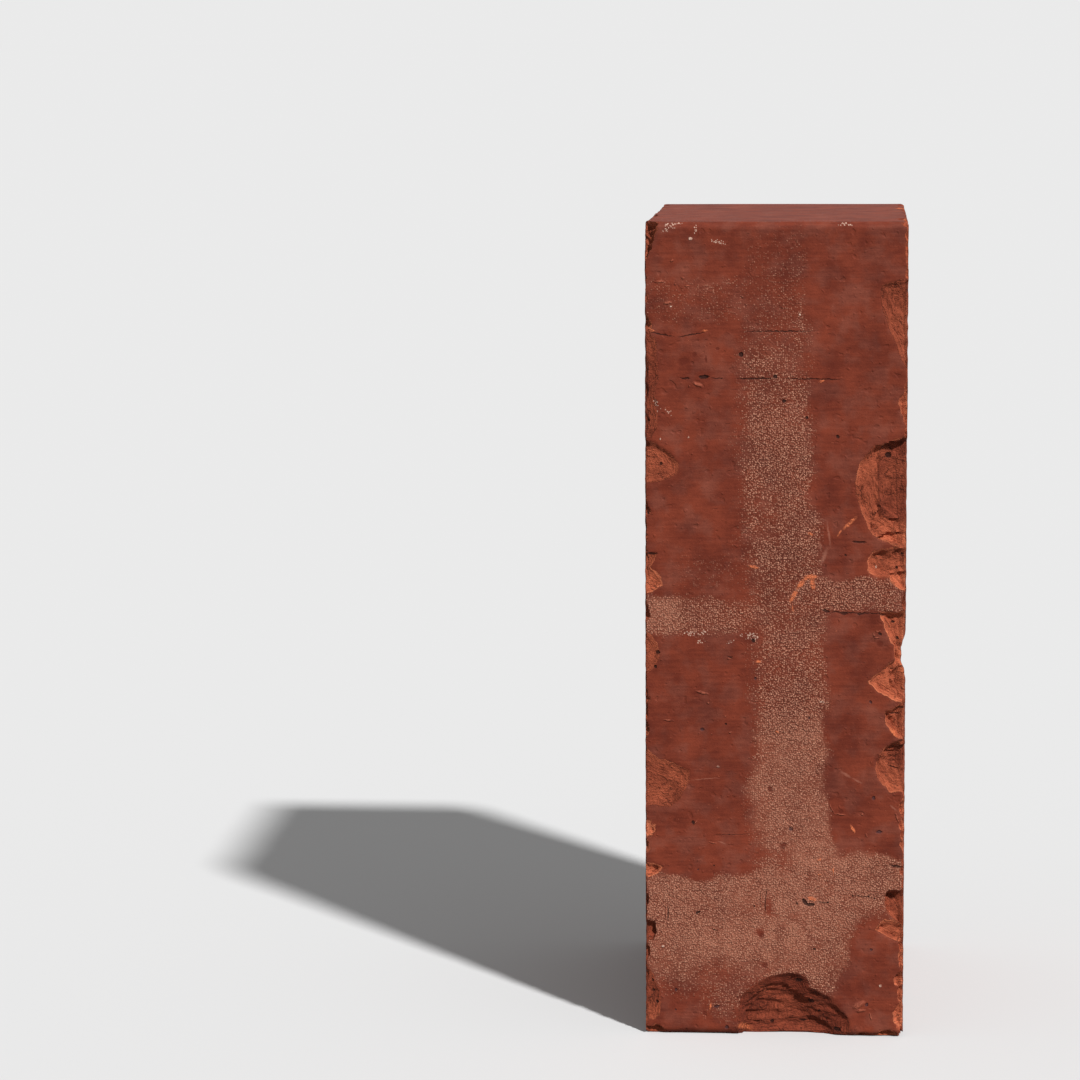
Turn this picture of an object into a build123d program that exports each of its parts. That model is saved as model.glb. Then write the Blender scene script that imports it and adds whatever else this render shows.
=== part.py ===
from build123d import *
import os
from math import sqrt

# A solid clay brick of the old two-and-five-eighths-inch height, extruded and wire-cut.
# It stands on one end. Lengths are in millimetres, +Z is up, and the origin is the middle
# of the footprint. The clay came out of the die along X, so the two wire-cut beds face
# -X and +X, the stretcher faces are at -Y (the front) and +Y, and the ends are at Z.

# Size of the brick
brick_length = 215.0     # end to end, along Z
brick_width = 102.5      # front to back, along Y
brick_height = 68.0      # bed to bed, along X
die_corner = 2.0         # round of the four edges that the die's corners left
wire_edge = 0.5          # wear on the sharp edges that the cutting wire left

# Each break is (where its middle is, length along the edge, reach on the front face,
# reach on the side that it shares). Places up the lower half are measured from the foot,
# and those up the upper half from the head, so that they stay with their end.

# Breaks of the front edge on the -X bed, from the head down
left_breaks = [
    (brick_length, 20.8, 3.3, 3.5),
    (brick_length - 26.0, 6.0, 1.8, 1.2),
    (brick_length - 38.0, 7.0, 2.6, 1.4),
    (brick_length - 52.0, 5.5, 2.2, 1.2),
    (brick_length - 62.8, 9.4, 9.6, 1.5),
    (brick_length - 88.6, 4.0, 2.6, 1.0),
    (brick_length - 93.8, 6.2, 4.6, 1.5),
    (102.6, 9.2, 4.2, 1.6),
    (82.0, 5.0, 1.6, 1.0),
    (68.4, 12.4, 11.0, 1.8),
    (55.7, 3.4, 2.0, 0.9),
    (44.7, 4.4, 4.6, 0.8),
    (28.3, 5.2, 3.4, 1.1),
    (12.7, 7.2, 4.2, 1.4),
    (5.6, 6.4, 4.8, 1.5),
]

# Breaks of the front edge on the +X bed, from the head down
right_breaks = [
    (brick_length - 23.0, 12.0, 4.2, 2.2),
    (brick_length - 69.4, 31.0, 14.0, 5.0),
    (brick_length - 79.2, 11.0, 9.6, 3.0),
    (brick_length - 88.8, 13.0, 9.2, 2.6),
    (brick_length - 103.6, 11.5, 6.4, 3.0),
    (103.2, 11.2, 2.8, 3.0),
    (95.4, 11.0, 10.0, 2.0),
    (84.6, 9.4, 5.6, 2.2),
    (71.2, 12.0, 7.6, 2.8),
    (58.0, 6.0, 1.6, 1.2),
    (35.2, 9.8, 4.8, 2.4),
    (28.8, 7.0, 7.8, 1.2),
    (20.6, 6.2, 2.2, 1.4),
    (13.4, 8.0, 2.4, 1.5),
    (5.2, 8.4, 2.8, 1.7),
]

# Breaks of the front edge at the foot, where the place is measured from the middle
foot_breaks = [
    (2.3, 19.6, 17.2, 4.0),
    (9.6, 20.8, 11.4, 4.4),
    (-31.4, 5.6, 2.4, 1.6),
    (29.6, 6.6, 1.8, 1.6),
]

# A furrow that the wire dragged across the +X bed, from a notch in the front edge
furrow_start = 103.7     # height of its middle at the front
furrow_fall = 17.0       # how much lower it is at the back
furrow_width = 10.6      # across, at the front
furrow_depth = 1.4       # at the front
furrow_end_depth = 0.3   # at the back


def ball_of_break(length, face_reach, side_reach):
    """Clay breaks off an edge in a shell shape, the dent of a ball. Returns the ball's
    radius and how far its middle lies outside the side and outside the front face."""
    half = length / 2
    off_side = (half**2 - face_reach**2) / (2 * face_reach)
    off_face = (half**2 - side_reach**2) / (2 * side_reach)
    radius = sqrt(half**2 + off_side**2 + off_face**2)
    return radius, off_side, off_face


front = -brick_width / 2
bed = brick_height / 2

with BuildPart() as brick:
    # The column of clay as the die shapes it, cut to the brick's height
    with BuildSketch(Plane.YZ) as die_opening:
        with Locations((0, brick_length / 2)):
            RectangleRounded(brick_width, brick_length, die_corner)
    extrude(amount=bed, both=True)

    # The edges round both beds
    fillet(brick.faces().filter_by(Axis.X).edges(), radius=wire_edge)

    # The furrow is a round groove that slants down and runs out towards the back
    groove = (furrow_width**2 / 4 + furrow_depth**2) / (2 * furrow_depth)
    furrow_ends = [
        (front, furrow_start, furrow_depth),
        (-front, furrow_start - furrow_fall, furrow_end_depth),
    ]
    for y, height, depth in furrow_ends:
        with BuildSketch(Plane.XZ.offset(-y)):
            with Locations((bed + groove - depth, height)):
                Circle(groove)
    loft(mode=Mode.SUBTRACT)

    # The broken front edges of the two beds
    for side, breaks in ((-1, left_breaks), (1, right_breaks)):
        for place, length, face_reach, side_reach in breaks:
            radius, off_side, off_face = ball_of_break(length, face_reach, side_reach)
            with Locations((side * (bed + off_side), front - off_face, place)):
                Sphere(radius, mode=Mode.SUBTRACT)

    # The broken front edge at the foot
    for place, length, face_reach, side_reach in foot_breaks:
        radius, off_side, off_face = ball_of_break(length, face_reach, side_reach)
        with Locations((place, front - off_face, -off_side)):
            Sphere(radius, mode=Mode.SUBTRACT)

brick.part.label = "brick"

os.makedirs("parts", exist_ok=True)
export_step(brick.part, "parts/brick.step")

print("solids", len(brick.solids()), "volume", round(brick.part.volume, 1), "mm3")
print("box", brick.part.bounding_box())
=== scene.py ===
# %% [markdown]
# # A clay brick that stands on one end
# The real thing is one block of fired clay. Wet clay was pushed out of a die as a long
# column, and a wire cut the column into bricks. The four faces that slid along the die are
# smooth. The two that the wire cut, called the beds, are rough, and their edges are sharp
# and easily broken. This lesson makes the block as one closed mesh and then its finish.
# It starts by loading the brick's plain solid, whose size and place everything here keeps.

# %% Load the plain brick
from math import atan2, cos, hypot, pi, radians, sin, sqrt

import bpy
import numpy as np
from mathutils import Matrix, Vector, noise


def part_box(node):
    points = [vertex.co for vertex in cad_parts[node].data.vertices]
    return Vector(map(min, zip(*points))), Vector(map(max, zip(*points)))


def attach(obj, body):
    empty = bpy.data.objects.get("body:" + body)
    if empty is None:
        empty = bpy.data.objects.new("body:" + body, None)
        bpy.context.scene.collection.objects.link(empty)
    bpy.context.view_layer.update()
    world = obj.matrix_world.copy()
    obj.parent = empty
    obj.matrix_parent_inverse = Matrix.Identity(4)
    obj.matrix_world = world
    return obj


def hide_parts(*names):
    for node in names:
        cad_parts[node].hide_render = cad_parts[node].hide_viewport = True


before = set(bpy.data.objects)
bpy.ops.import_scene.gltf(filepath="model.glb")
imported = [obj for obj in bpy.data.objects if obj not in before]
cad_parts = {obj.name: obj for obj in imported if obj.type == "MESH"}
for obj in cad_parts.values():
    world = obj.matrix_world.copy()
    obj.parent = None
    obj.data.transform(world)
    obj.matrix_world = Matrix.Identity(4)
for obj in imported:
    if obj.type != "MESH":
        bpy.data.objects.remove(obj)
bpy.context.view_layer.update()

# %% [markdown]
# # The camera
# The camera comes first, because it decides which details are worth making. It stands about
# a metre away, a little above the brick, and looks down at it by less than eight degrees.
# Its place was worked out from the outline of the brick, whose real size is known. A camera
# can be turned by angles, but three arrows that stand square to each other are easier to
# check: one points ahead, one across the picture and one up it.

# %% Place the camera
PICTURE_PIXELS = 1080
LENS_IN_PIXELS = 3719
SENSOR_MM = 36.0
FARTHEST_SEEN = 1000
camera_place = Vector((0.0195, -1.0111, 0.2633))
# How far the camera turns to the side, dips down, and leans over about its own line of sight
swing, dip, lean = radians(-4.82), radians(7.76), radians(-0.32)

ahead = Vector((sin(swing) * cos(dip), cos(swing) * cos(dip), -sin(dip)))
level = Vector((cos(swing), -sin(swing), 0))
upward = level.cross(ahead)
across = level * cos(lean) + upward * sin(lean)
upright = upward * cos(lean) - level * sin(lean)

lens = bpy.data.cameras.new("camera")
lens.sensor_width = SENSOR_MM
lens.lens = LENS_IN_PIXELS / PICTURE_PIXELS * SENSOR_MM
lens.clip_end = FARTHEST_SEEN
camera = bpy.data.objects.new("camera", lens)
facing = Matrix((across, upright, -ahead)).transposed()
camera.matrix_world = Matrix.Translation(camera_place) @ facing.to_4x4()
bpy.context.scene.collection.objects.link(camera)
bpy.context.scene.camera = camera
print("Focal length in millimetres:", round(lens.lens, 2))

# %% [markdown]
# # Light
# The light comes from the upper right, in front of the brick, and is fairly small, so that
# every broken edge has a bright and a dark side. A sun lamp gives the same light
# everywhere. The world fills the shadows. The two together add up to about one on the front
# face, so a colour shows there as it is written in the material.

# %% Hang the lamp and set the fill
KEY_STRENGTH = 4.1
FILL_STRENGTH = 0.30
KEY_WIDTH = radians(3.5)
key_from = Vector((0.62, -0.80, 0.92)).normalized()

lamp = bpy.data.lights.new("key", "SUN")
lamp.energy = KEY_STRENGTH
lamp.angle = KEY_WIDTH
key = bpy.data.objects.new("key", lamp)
key.rotation_euler = key_from.to_track_quat("Z", "Y").to_euler()
bpy.context.scene.collection.objects.link(key)
bpy.context.scene.view_settings.view_transform = "Standard"
print("The key light's share on the front face:", round(KEY_STRENGTH / pi * -key_from.y, 2))

# %% [markdown]
# # Floor and backdrop
# The brick stands on a plain pale floor that reaches the horizon. The camera sees the floor
# pale, but the light that the floor throws back up at the brick is kept low by the Light
# Path node, as on a studio table with dark cloth around it. The world behind is painted the
# brightness that the lit floor has, so no line shows where the floor ends.

# %% Lay the floor
FLOOR_SEEN = 0.70
FLOOR_BOUNCE = 0.22
FLOOR_REACH = 80
FLOOR_SIDES = 64

floor_mesh = bpy.data.meshes.new("floor")
turns = np.linspace(0, 2 * pi, FLOOR_SIDES + 1)[:-1]
rim = [(FLOOR_REACH * cos(turn), FLOOR_REACH * sin(turn), 0) for turn in turns]
floor_mesh.from_pydata(rim, [], [range(FLOOR_SIDES)])
floor = bpy.data.objects.new("floor", floor_mesh)
bpy.context.scene.collection.objects.link(floor)
print("The floor reaches", FLOOR_REACH, "metres")


# %% Give the floor its two brightnesses
def seen_directly(tree):
    """A value of 1 for rays from the eye, a mirror or through glass, and 0 for the rest."""
    path = tree.nodes.new("ShaderNodeLightPath")
    seen = path.outputs["Is Camera Ray"]
    for kind in ("Is Glossy Ray", "Is Transmission Ray"):
        larger = tree.nodes.new("ShaderNodeMath")
        larger.operation = "MAXIMUM"
        tree.links.new(seen, larger.inputs[0])
        tree.links.new(path.outputs[kind], larger.inputs[1])
        seen = larger.outputs[0]
    return seen


floor_finish = bpy.data.materials.new("pale floor")
floor_finish.use_nodes = True
tree = floor_finish.node_tree
tree.nodes.clear()
paint = tree.nodes.new("ShaderNodeBsdfDiffuse")
shade = tree.nodes.new("ShaderNodeMix")
shade.data_type = "RGBA"
# Input 0 of a Mix node is the share of the second colour, and 6 and 7 are the two colours
shade.inputs[6].default_value = (FLOOR_BOUNCE, FLOOR_BOUNCE, FLOOR_BOUNCE, 1)
shade.inputs[7].default_value = (FLOOR_SEEN, FLOOR_SEEN, FLOOR_SEEN, 1)
tree.links.new(seen_directly(tree), shade.inputs[0])
tree.links.new(shade.outputs[2], paint.inputs["Color"])
floor_out = tree.nodes.new("ShaderNodeOutputMaterial")
tree.links.new(paint.outputs[0], floor_out.inputs["Surface"])
floor_mesh.materials.append(floor_finish)
print("The camera sees the floor at", FLOOR_SEEN, "and the brick at", FLOOR_BOUNCE)

# %% Paint the world
world = bpy.data.worlds.new("studio")
bpy.context.scene.world = world
world.use_nodes = True
tree = world.node_tree
tree.nodes.clear()
lit_floor = FLOOR_SEEN * (KEY_STRENGTH / pi * key_from.z + FILL_STRENGTH)
fill = tree.nodes.new("ShaderNodeBackground")
fill.inputs["Color"].default_value = (1, 1, 1, 1)
fill.inputs["Strength"].default_value = FILL_STRENGTH
behind = tree.nodes.new("ShaderNodeBackground")
behind.inputs["Color"].default_value = (lit_floor, lit_floor, lit_floor, 1)
either = tree.nodes.new("ShaderNodeMixShader")
tree.links.new(seen_directly(tree), either.inputs[0])
tree.links.new(fill.outputs[0], either.inputs[1])
tree.links.new(behind.outputs[0], either.inputs[2])
world_out = tree.nodes.new("ShaderNodeOutputWorld")
tree.links.new(either.outputs[0], world_out.inputs["Surface"])
print("The floor and the world show at", round(lit_floor, 2))

# %% [markdown]
# # A skin of points around the block
# A brick could be a cube with modifiers, but then its breaks would have the same smooth
# grain everywhere. Here the skin is a closed net of points on the block's box. It is fine
# where breaks are, along the edges of the front, and coarser elsewhere. Later each point
# sinks into the clay until it meets the worn surface. All of this is counted in
# millimetres, the unit that a brickmaker uses, and turned into metres at the end.

# %% The block's faces
MM = 1000.0
low, high = (np.array(corner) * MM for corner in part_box("brick"))
bed, back, head = high
front = low[1]
print("Bed to bed", bed * 2, "front to back", back - front, "foot to head", head)


# %% Lines of the net
def spread(start, stop, fine, border, coarse):
    """Places from start to stop, fine within a border at both ends, coarse between."""
    near = round(border / fine)
    middle = 2 * round((stop - start - 2 * border) / coarse / 2)
    edge = np.linspace(0, border, near + 1)
    inside = np.linspace(border, stop - start - border, middle + 1)[1:-1]
    return start + np.concatenate([edge, inside, (stop - start) - edge[::-1]])


columns = spread(-bed, bed, fine=0.40, border=15.2, coarse=0.92)
rows = spread(0, head, fine=0.42, border=18.4, coarse=0.51)
# How far the rings behind the front lie from it, close together near both faces
near_rings = np.array([0.45, 0.9, 1.4, 1.9, 2.5, 3.1, 3.8, 4.6, 5.5, 6.6])
far_rings = np.concatenate([np.arange(8.0, 97.5, 2.75), [98.8, 99.8, 100.6, 101.2, 101.8]])
print("Columns", len(columns), "rows", len(rows), "rings", len(near_rings) + len(far_rings))


# %% Outlines and faces of a grid
def rim_of(xs, zs):
    """The outline of a grid of these columns and rows, from one corner all the way round."""
    foot_line = [(x, zs[0]) for x in xs[:-1]]
    right_line = [(xs[-1], z) for z in zs[:-1]]
    head_line = [(x, zs[-1]) for x in xs[:0:-1]]
    left_line = [(xs[0], z) for z in zs[:0:-1]]
    return np.array(foot_line + right_line + head_line + left_line)


def rim_numbers(wide, tall):
    """The same outline as numbers of grid points, for a grid that is counted row by row."""
    grid = np.arange(wide * tall).reshape(tall, wide)
    return np.concatenate([grid[0, :-1], grid[:-1, -1], grid[-1, :0:-1], grid[:0:-1, 0]])


def grid_faces(wide, tall, outward):
    """The four-sided faces of a grid, turned to face the way that is asked."""
    grid = np.arange(wide * tall).reshape(tall, wide)
    corners = [grid[:-1, :-1], grid[:-1, 1:], grid[1:, 1:], grid[1:, :-1]]
    faces = np.stack([c.ravel() for c in corners], axis=1)
    return faces if outward == "front" else faces[:, ::-1]


print("Points round the outline:", len(rim_of(columns, rows)))

# %% The front grid
grid_x, grid_z = np.meshgrid(columns, rows)
front_points = np.stack([grid_x.ravel(), np.full(grid_x.size, front), grid_z.ravel()], axis=1)
points = [front_points]
faces = grid_faces(len(columns), len(rows), "front").tolist()
count = len(front_points)
print("Points on the front:", count)


# %% The rings behind the front
def add_ring(rim, depth):
    """Adds one ring of points this far behind the front, and returns their numbers."""
    global count
    points.append(np.stack([rim[:, 0], np.full(len(rim), front + depth), rim[:, 1]], axis=1))
    count += len(rim)
    return np.arange(count - len(rim), count)


def join_rings(near, far):
    """The four-sided faces between two rings of the same number of points."""
    quads = [near, far, np.roll(far, -1), np.roll(near, -1)]
    return np.stack(quads, axis=1).tolist()


fine_rim = rim_of(columns, rows)
ring = rim_numbers(len(columns), len(rows))
for depth in near_rings:
    next_ring = add_ring(fine_rim, depth)
    faces += join_rings(ring, next_ring)
    ring = next_ring

# One ring drops every second point, and the rest of the block is coarser
coarse_rim = fine_rim[::2]
next_ring = add_ring(coarse_rim, far_rings[0])
for n in range(len(next_ring)):
    a, b, c = ring[2 * n], ring[2 * n + 1], ring[(2 * n + 2) % len(ring)]
    d, e = next_ring[n], next_ring[(n + 1) % len(next_ring)]
    faces += [[a, d, b], [b, d, e], [b, e, c]]
ring = next_ring
for depth in far_rings[1:]:
    next_ring = add_ring(coarse_rim, depth)
    faces += join_rings(ring, next_ring)
    ring = next_ring
print("Points with the rings:", count)

# %% The back closes the net
# The back is a grid of its own. Its outline is joined to the last ring
grid_x, grid_z = np.meshgrid(columns[::2], rows[::2])
back_points = np.stack([grid_x.ravel(), np.full(grid_x.size, back), grid_z.ravel()], axis=1)
faces += join_rings(ring, count + rim_numbers(len(columns[::2]), len(rows[::2])))
faces += (grid_faces(len(columns[::2]), len(rows[::2]), "back") + count).tolist()
points = np.concatenate(points + [back_points])
triangles = sum(len(face) - 2 for face in faces)
print("Points", len(points), "triangles", triangles)

# %% [markdown]
# # Uneven clay
# Nothing on a brick is exactly straight or round. A Displace modifier could shake the mesh,
# but its values couldn't steer the finish afterwards. So the lesson leans on one helper: a
# smooth random field, the same each time, with lumps of a size that is asked for. Giving
# three sizes stretches the lumps, as clay is stretched along the way it was pushed. Each
# use also has its own shift, a number that moves it to another part of the field, so that
# no two patterns are alike.


# %% A random field
def lumps(places, size, shift):
    """A value between about -1 and 1 at each place, with lumps of this size in mm."""
    scaled = places / np.array(size, float) + shift
    return np.array([noise.noise(place) for place in scaled.tolist()])


def rise(value, start, end):
    """Goes smoothly from 0 at start to 1 at end."""
    t = np.clip((value - start) / (end - start), 0, 1)
    return t * t * (3 - 2 * t)


def span(value, start, end, soft):
    """1 between start and end, fading out over a soft border at both."""
    inside = rise(value, start - soft, start + soft)
    return inside * (1 - rise(value, end - soft, end + soft))


wobble = np.stack([
    0.5 * lumps(points, 4.0, k) + 0.45 * lumps(points, 1.3, 10 + k)
    for k in (1.3, 2.6, 3.9)
], axis=1)
print("The outline of a break wanders by up to", round(float(np.abs(wobble).max()), 2), "mm")

# %% [markdown]
# # Breaks
# The front was knocked along its edges, and flakes of clay broke off. A large flake leaves
# a hollow with straight and curved sides. Its floor slopes gently where the flake ran out
# to nothing, and steeply where it tore. So each hollow is given as an outline, walked round
# from point to point, and the slope of the clay inwards from each side. The slopes meet in
# valleys, as they do on the real brick. A hollow also has a depth at which its floor levels
# out, and a lightness: 1 for bright new clay, 0 for a dark break. A dark break is an old,
# dirty one, but on the foot and in the dark top of the right bowl the low lightness is
# painted shade. Sides that lie outside the brick get OPEN as their slope, and the floor
# doesn't rise towards them. A hollow that starts below the surface makes a step inside a
# larger one.

# %% Hollows on the right edge
OPEN = 9.0
hollows = []


def hollow(name, outline, level, lightness, grain, rough=1.0, start=0.0):
    """Notes one hollow. Its outline's points are (x, z, slope of the side that follows),
    grain is the angle at which its torn ridges run, rough is how strongly it is torn, and
    start is how deep it begins."""
    hollows.append((name, outline, level, lightness, radians(grain), rough, start))


hollow("right, near the head", [
    (40, 200.6, 0.35), (33, 200.2, 0.35), (26.8, 198.6, 0.3), (27.0, 194.0, 0.22),
    (29.0, 188.0, 0.22), (31.4, 181.5, 0.22), (34.5, 175.5, 0.3), (40, 174, OPEN),
], level=1.8, lightness=0.35, grain=-70, rough=0.6)
hollow("right, the long spall", [
    (40, 160, 0.9), (33, 159.4, 0.9), (25.2, 157.1, 0.8), (21.9, 152.7, 0.26),
    (20.6, 148.1, 0.22), (21.1, 143.0, 0.22), (22.4, 139.1, 0.26), (23.7, 135.9, 0.3),
    (25.5, 133.6, 0.45), (28.1, 132.3, 0.6), (33.3, 129.4, 0.6), (40, 128, OPEN),
], level=3.4, lightness=0.55, grain=-62, rough=0.6)
hollow("right, the step in the spall", [
    (40, 159, OPEN), (28.0, 158.0, 0.7), (27.5, 150.0, 0.9), (27.3, 143.5, 0.9),
    (28.4, 138.6, 0.4), (31.0, 136.4, 0.3), (40, 135.4, OPEN),
], level=1.4, lightness=0.3, grain=-20, rough=0.5, start=1.35)
hollow("right, the spall's torn foot", [
    (40, 141.6, 0.4), (28.2, 141.0, 0.5), (25.6, 138.0, 0.3), (24.8, 135.6, 0.5),
    (29.4, 134.0, 0.5), (40, 133.6, OPEN),
], level=1.0, lightness=0.62, grain=-24, rough=0.9, start=1.0)
hollow("right, the last ledge", [
    (40, 135.6, 1.6), (31.4, 134.9, 1.6), (26.5, 133.0, 0.7), (30.0, 131.8, 0.5),
    (40, 129.8, OPEN),
], level=1.2, lightness=0.75, grain=-25, rough=1.1, start=1.1)
hollow("right, below the spall", [
    (40, 131.4, 0.5), (33, 130.9, 0.5), (28.4, 130.4, 0.35), (25.0, 129.4, 0.35),
    (23.5, 126.8, 0.4), (24.0, 124.1, 0.8), (27.1, 122.6, 0.8), (30.4, 122.9, 0.5),
    (34, 123.4, OPEN), (40, 123.4, OPEN),
], level=1.7, lightness=0.5, grain=-30, rough=0.9)
hollow("right, a tongue", [
    (40, 124.4, OPEN), (29.0, 123.8, 0.5), (29.9, 121.6, 0.4), (32.3, 119.6, 0.4),
    (34, 119, 0.4), (40, 118.6, OPEN),
], level=1.5, lightness=0.85, grain=-60)
hollow("right, above the notch", [
    (40, 114.0, 1.6), (27.0, 113.6, 0.55), (28.4, 110.0, 0.55), (29.6, 106.3, 0.8),
    (31.0, 104.2, 1.0), (31.0, 101.8, 1.0), (40, 100, OPEN),
], level=2.0, lightness=0.7, grain=-60, rough=0.7)
hollow("right, the notch's lip", [
    (40, 107.0, OPEN), (31.2, 106.6, 1.4), (30.8, 104.0, 1.4), (30.9, 101.4, 1.4),
    (31.8, 98.8, 1.4), (33.0, 95.6, 1.4), (40, 95.0, OPEN),
], level=1.5, lightness=1.0, grain=-82)
hollow("right, the fan", [
    (40, 104, OPEN), (33.4, 103.0, 1.8), (30.0, 100.2, 1.8), (27.3, 98.1, 1.5),
    (23.6, 94.9, 0.2), (27.3, 92.3, 0.25), (30.7, 90.0, 0.3), (34, 89.2, 0.3),
    (40, 89, OPEN),
], level=2.0, lightness=0.8, grain=12, rough=0.5)
hollow("right, the fan's inner step", [
    (40, 101, OPEN), (33.2, 99.0, 1.2), (30.4, 97.6, 1.2), (31.2, 93.6, 0.8),
    (33.2, 91.0, 0.8), (40, 90, OPEN),
], level=0.9, lightness=0.6, grain=-40, start=1.3)
hollow("right, under the fan", [
    (40, 90.2, 0.6), (33.5, 89.8, 0.6), (28.4, 87.4, 1.2), (28.9, 83.8, 1.2),
    (30.8, 81.7, 1.0), (32.2, 80.2, 0.6), (40, 79, OPEN),
], level=1.8, lightness=0.55, grain=-65, rough=0.9)
hollow("right, the bowl", [
    (40, 79.8, 1.0), (31.0, 79.5, 1.0), (28.0, 77.6, 1.0), (26.6, 74.5, 1.2),
    (26.2, 71.9, 1.2), (26.8, 69.8, 1.0), (28.4, 67.6, 0.5), (30.1, 66.0, 0.4),
    (32.4, 66.0, 0.4), (40, 65, OPEN),
], level=2.0, lightness=0.5, grain=-50, rough=0.5)
# Its low lightness paints the bowl's top darker, as painted shade.
hollow("right, the bowl's dark top", [
    (40, 78.8, OPEN), (31.5, 78.0, 0.9), (29.4, 76.2, 1.0), (29.0, 74.0, 0.4),
    (31.0, 72.6, 0.5), (40, 72.0, OPEN),
], level=1.2, lightness=0.3, grain=-8, rough=1.0, start=1.25)
hollow("right, the square chip", [
    (40, 40.4, 1.3), (30.0, 39.8, 1.3), (29.2, 38.6, 1.5), (29.0, 35.7, 1.3),
    (29.9, 33.2, 0.5), (31.5, 31.5, 0.4), (33.4, 29.9, 0.4), (40, 29.2, OPEN),
], level=2.0, lightness=0.35, grain=-35)
hollow("right, the thin flake", [
    (40, 31.4, OPEN), (33.5, 31.0, 0.15), (28.8, 32.2, 0.12), (25.9, 29.0, 1.1),
    (29.1, 27.5, 1.1), (32.5, 25.7, 0.9), (40, 24.6, OPEN),
], level=0.9, lightness=0.6, grain=-20)
print("Hollows on the right edge:", len(hollows))

# %% Hollows on the left edge
hollow("left, the shell", [
    (-40, 158.8, 0.8), (-33.1, 158.4, 1.0), (-31.0, 157.7, 1.8), (-27.9, 155.3, 1.8),
    (-25.2, 151.4, 0.5), (-25.9, 149.2, 0.22), (-29.0, 147.8, 0.18),
    (-31.8, 147.2, 0.18), (-40, 146.6, OPEN),
], level=0.5, lightness=0.5, grain=-35, rough=0.3)
hollow("left, worn high", [
    (-40, 187.6, 0.07), (-33.4, 187.0, 0.07), (-31.2, 184.6, 0.07), (-30.4, 178.0, 0.07),
    (-30.2, 174.2, 0.07), (-31.4, 170.6, 0.07), (-30.8, 166.8, 0.07), (-30.4, 162.4, 0.07),
    (-31.8, 159.0, 0.07), (-40, 158.6, OPEN),
], level=0.3, lightness=0.3, grain=-80, rough=0.16)
hollow("left, a slit", [
    (-40, 128.8, 2.0), (-30.7, 128.8, 0.9), (-31.4, 126.6, 0.3), (-33, 124.6, 0.3),
    (-40, 124, OPEN),
], level=0.45, lightness=0.6, grain=40, rough=0.4)
hollow("left, lumpy", [
    (-40, 125.6, 0.12), (-33, 125.4, 0.12), (-29.9, 123.0, 0.12), (-29.5, 120.5, 0.2),
    (-31.5, 118.4, 0.3), (-40, 117.9, OPEN),
], level=0.5, lightness=0.85, grain=-50, rough=0.45)
hollow("left, pitted", [
    (-40, 108.6, 0.07), (-32.8, 107.8, 0.07), (-30.6, 105.0, 0.07), (-30.0, 101.2, 0.1),
    (-31.6, 98.0, 0.2), (-33.4, 97.0, 0.2), (-40, 96.8, OPEN),
], level=0.4, lightness=0.5, grain=60, rough=0.25)
hollow("left, the bowl", [
    (-40, 77.4, 0.12), (-33.5, 77.0, 0.12), (-30.5, 74.4, 0.14), (-27.5, 73.6, 0.14),
    (-24.6, 72.2, 0.3), (-22.4, 71.0, 1.2), (-22.3, 68.5, 0.5), (-23.6, 65.9, 0.3),
    (-25.2, 63.0, 0.22), (-27.2, 61.2, 0.2), (-31.4, 61.9, 0.2), (-40, 61.9, OPEN),
], level=0.9, lightness=0.43, grain=-25, rough=0.2)
hollow("left, a bright nick", [
    (-40, 46.9, 0.2), (-33.5, 46.5, 0.2), (-30.5, 45.8, 0.2), (-29.3, 44.6, 0.3),
    (-30.8, 42.9, 0.4), (-33.5, 42.5, 0.4), (-40, 42.3, OPEN),
], level=0.6, lightness=1.0, grain=10, rough=0.6)
hollow("left, a square nick", [
    (-40, 30.8, 1.4), (-33.8, 30.7, 1.4), (-31.2, 30.3, 1.3), (-31.0, 27.5, 1.0),
    (-31.8, 25.5, 0.5), (-40, 25.0, OPEN),
], level=1.2, lightness=0.3, grain=20)
hollow("left, worn low", [
    (-40, 19.4, 0.07), (-33.5, 18.6, 0.07), (-31.8, 16.0, 0.07), (-30.4, 12.0, 0.07),
    (-30.0, 8.0, 0.07), (-30.4, 4.8, 0.2), (-32.0, 3.8, 0.2), (-40, 3.6, OPEN),
], level=0.3, lightness=0.4, grain=70, rough=0.22)
print("Hollows on both edges:", len(hollows))

# %% Hollows at the foot
# The low lightness of the foot and of its inner step is painted shade.
hollow("the foot", [
    (-9.7, -6, 0.28), (-9.6, 0.6, 0.28), (-9.5, 5.4, 0.28), (-8.7, 10.8, 0.28),
    (-5.8, 13.6, 0.3), (-1.6, 15.8, 0.5), (3.4, 17.3, 0.6), (6.8, 16.8, 0.5),
    (8.7, 15.2, 0.5), (9.5, 13.0, 0.4), (14.4, 10.7, 0.36), (19.6, 5.4, 0.32),
    (20.3, 2.6, 0.32), (20.6, -6, OPEN),
], level=4.0, lightness=0.10, grain=-4, rough=0.5)
hollow("the foot's inner step", [
    (-9, -6, OPEN), (-8.0, 7.0, 0.5), (-3.0, 12.8, 0.6), (2.2, 14.0, 1.3), (5.0, 12.4, 1.3),
    (6.8, 10.6, 1.3), (9.4, 8.6, 1.3), (11.0, 6.2, 1.2), (13.4, 3.8, 1.2), (15.8, 1.4, 1.0),
    (17, -6, OPEN),
], level=2.4, lightness=0.20, grain=-10, rough=0.7, start=1.15)
depths = {name: level + start for name, _, level, _, _, _, start in hollows}
print("Hollows in all:", len(hollows), "and the deepest is", max(depths, key=depths.get))

# %% [markdown]
# Small flakes come off an edge in shells, as from glass: each dent is part of a ball whose
# middle lies outside the brick. A shell is given by where it is along its edge, how long it
# is there, and how far it reaches on the front and on the face beside it, which can all be
# read off a brick with a ruler, and again by how fresh it is.

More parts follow.
